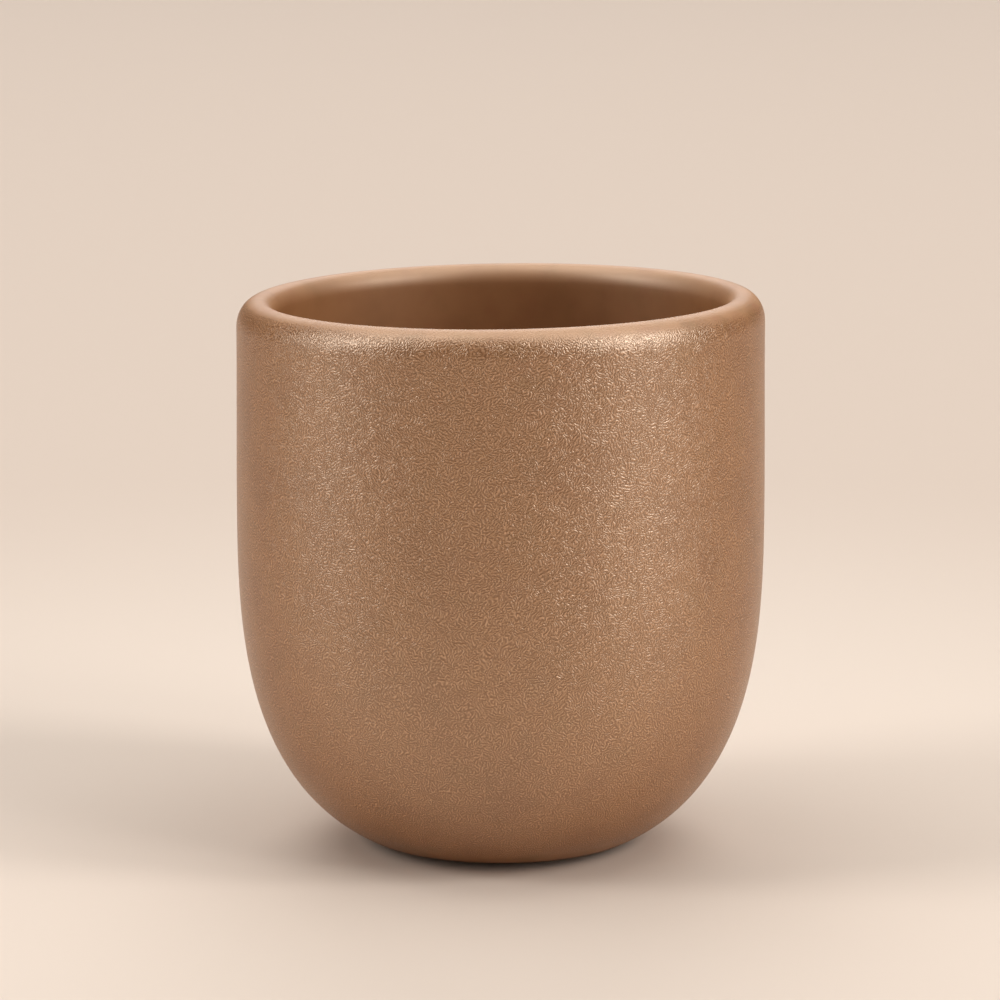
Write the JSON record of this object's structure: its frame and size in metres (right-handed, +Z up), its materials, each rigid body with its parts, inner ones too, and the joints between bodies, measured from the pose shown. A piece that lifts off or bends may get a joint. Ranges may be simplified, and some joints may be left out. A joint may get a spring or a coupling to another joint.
{
  "type": "handleless cappuccino cup",
  "caption": "Handleless stoneware cup for a cappuccino, with an upright wall, thick rounded lip, rounded bowl and small foot ring, wrinkled satin glaze outside and smooth glaze inside.",
  "frame": {"origin": "centre of the foot, on the surface that the cup stands on", "axes": "+Z up along the cup's axis, which it is turned about; +X to the right and +Y away in the picture's view"},
  "size_m": [0.08, 0.08, 0.084],
  "materials": {
    "bare_clay": "matt, dry, slightly sandy fired stoneware",
    "wrinkled_satin_glaze": "satin warm brown with a fine wrinkled, leather-like grain that fades out at the lip and the foot",
    "smooth_satin_glaze": "smooth satin warm brown",
    "base_satin_glaze": "smooth satin brown, a little darker"
  },
  "bodies": {
    "root": {"clay_body": "bare_clay", "outer_glaze": "wrinkled_satin_glaze", "liner_glaze": "smooth_satin_glaze", "base_glaze": "base_satin_glaze"}
  },
  "joints": []
}
